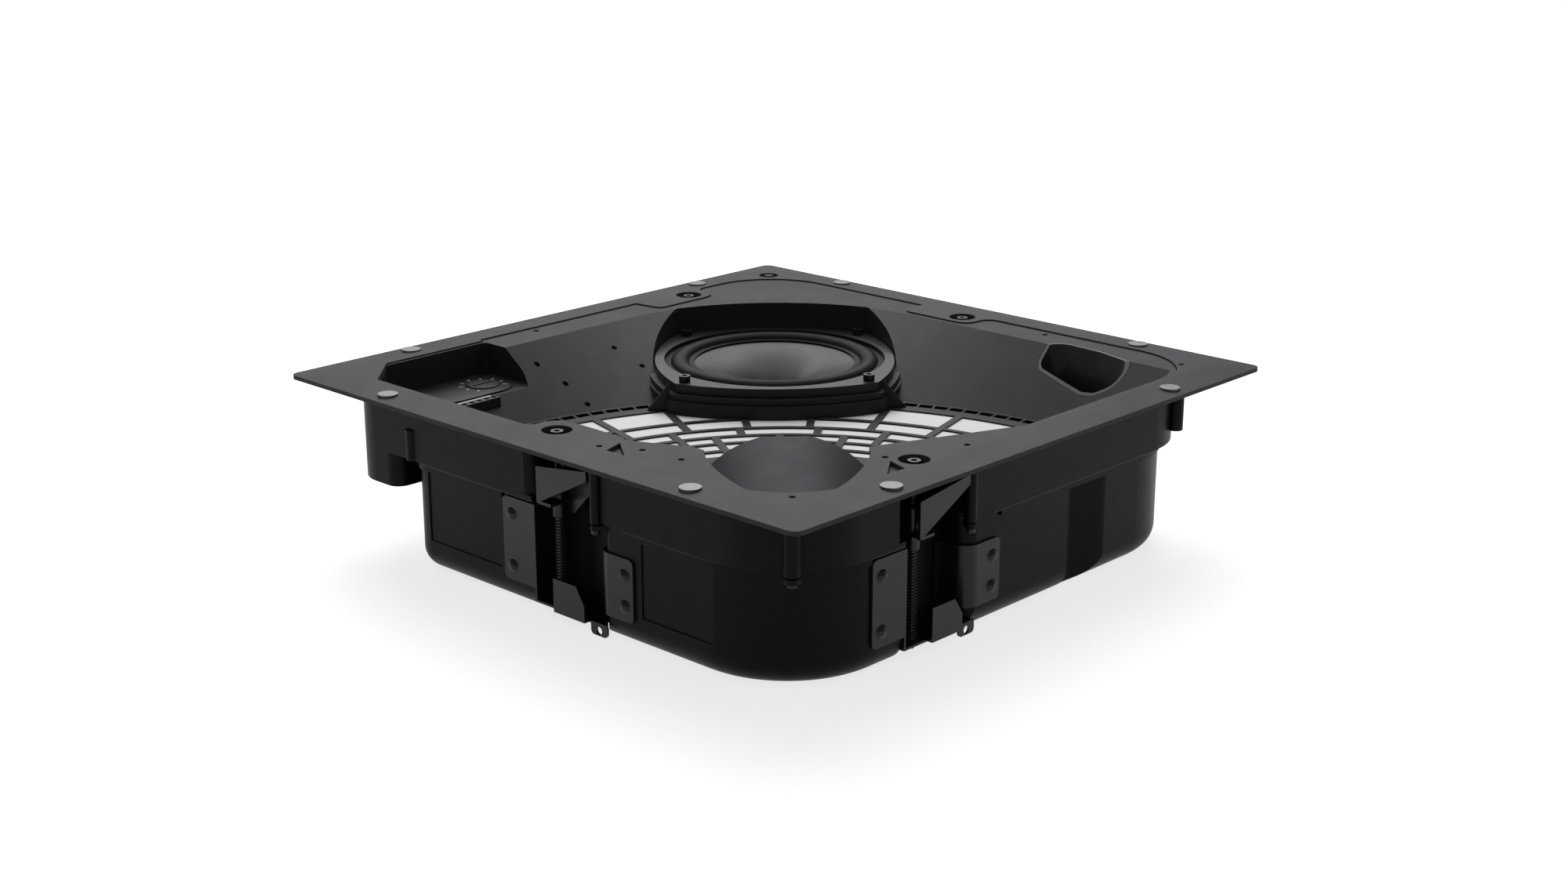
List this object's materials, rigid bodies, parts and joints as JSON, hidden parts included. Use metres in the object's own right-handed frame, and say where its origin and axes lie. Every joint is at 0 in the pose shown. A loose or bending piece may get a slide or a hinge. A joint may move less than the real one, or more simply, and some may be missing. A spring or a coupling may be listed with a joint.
{
  "type": "loudspeaker",
  "caption": "Square flush-mount loudspeaker with a bevelled bezel, a woofer over a fan-shaped slotted wave guide, a terminal pocket, a bass port, a closed back can and swing clamps.",
  "frame": {"origin": "middle of the back can's bottom face, which the part lies on", "axes": "+Z out of the front face; X and Y along the bezel's sides; the terminal pocket is at -X +Y"},
  "size_m": [0.489, 0.489, 0.132],
  "materials": {
    "frame_plastic": "fine moulded grain",
    "can_plastic": "satin black",
    "baffle_plastic": "fine moulded grain",
    "dark_plastic": "satin",
    "screen_cloth": "fine open weave",
    "gasket_foam": "matt",
    "surround_rubber": "satin",
    "cone_plastic": "satin",
    "basket_paint": "satin black",
    "ferrite": "matt",
    "motor_steel": "plated",
    "coil_copper": "enamelled",
    "spider_cloth": "corrugated",
    "magnet_plate": "bright plated",
    "black_steel": "black coated",
    "bracket_steel": "black coated",
    "arm_steel": "black coated",
    "board": "lacquered",
    "core": "varnished"
  },
  "bodies": {
    "casing": {"bezel_frame": "frame_plastic", "back_can": "can_plastic", "baffle": "baffle_plastic", "waveguide_grille": "baffle_plastic", "bass_port": "baffle_plastic", "throat_cover": "baffle_plastic", "control_plate": "baffle_plastic", "waveguide_tray": "dark_plastic", "terminal_block": "dark_plastic", "acoustic_screen": "screen_cloth", "can_gasket": "gasket_foam", "woofer_surround": "surround_rubber", "woofer_basket": "basket_paint", "hf_driver": "basket_paint", "ring_magnet": "ferrite", "top_plate": "motor_steel", "pole_piece": "motor_steel", "spider": "spider_cloth", "grille_magnets": "magnet_plate", "skirt_screws": "black_steel", "woofer_screws": "black_steel", "clamp_spring_front": "black_steel", "clamp_spring_right": "black_steel", "clamp_spring_back": "black_steel", "clamp_spring_left": "black_steel", "clamp_rivets_front": "black_steel", "clamp_rivets_right": "black_steel", "clamp_rivets_back": "black_steel", "clamp_rivets_left": "black_steel", "clamp_bracket_front": "bracket_steel", "clamp_bracket_right": "bracket_steel", "clamp_bracket_back": "bracket_steel", "clamp_bracket_left": "bracket_steel", "crossover_board": "board", "line_transformer": "core"},
    "cone": {"woofer_cone": "cone_plastic", "dust_cap": "cone_plastic", "voice_coil": "coil_copper"},
    "knob": {"tap_knob": "dark_plastic"},
    "screw_front": {"clamp_screw_front": "black_steel"},
    "arm_front": {"clamp_arm_front": "arm_steel"},
    "screw_right": {"clamp_screw_right": "black_steel"},
    "arm_right": {"clamp_arm_right": "arm_steel"},
    "screw_back": {"clamp_screw_back": "black_steel"},
    "arm_back": {"clamp_arm_back": "arm_steel"},
    "screw_left": {"clamp_screw_left": "black_steel"},
    "arm_left": {"clamp_arm_left": "arm_steel"}
  },
  "joints": [
    {"name": "cone_travel", "type": "slide", "parent": "casing", "child": "cone", "axis": [0, 0, 1], "range_m": [-0.004, 0.004], "stiffness_N_per_m": 1500, "deforming": ["woofer_surround", "spider"]},
    {"name": "knob_turn", "type": "hinge", "parent": "casing", "child": "knob", "pos_m": [-0.121, 0.183, 0.1057], "axis": [0, 0, -1], "range_deg": [0, 270]},
    {"name": "swing_front", "type": "hinge", "parent": "casing", "child": "screw_front", "pos_m": [-0.098, -0.208, 0.09], "axis": [0, 0, -1], "range_deg": [0, 90]},
    {"name": "draw_front", "type": "slide", "parent": "screw_front", "child": "arm_front", "axis": [0, 0, -1], "range_m": [0, 0.026], "deforming": ["clamp_spring_front"]},
    {"name": "swing_right", "type": "hinge", "parent": "casing", "child": "screw_right", "pos_m": [0.208, 0, 0.09], "axis": [0, 0, -1], "range_deg": [0, 90]},
    {"name": "draw_right", "type": "slide", "parent": "screw_right", "child": "arm_right", "axis": [0, 0, -1], "range_m": [0, 0.026], "deforming": ["clamp_spring_right"]},
    {"name": "swing_back", "type": "hinge", "parent": "casing", "child": "screw_back", "pos_m": [0.114, 0.208, 0.09], "axis": [0, 0, -1], "range_deg": [0, 90]},
    {"name": "draw_back", "type": "slide", "parent": "screw_back", "child": "arm_back", "axis": [0, 0, -1], "range_m": [0, 0.026], "deforming": ["clamp_spring_back"]},
    {"name": "swing_left", "type": "hinge", "parent": "casing", "child": "screw_left", "pos_m": [-0.208, 0, 0.09], "axis": [0, 0, -1], "range_deg": [0, 90]},
    {"name": "draw_left", "type": "slide", "parent": "screw_left", "child": "arm_left", "axis": [0, 0, -1], "range_m": [0, 0.026], "deforming": ["clamp_spring_left"]}
  ]
}
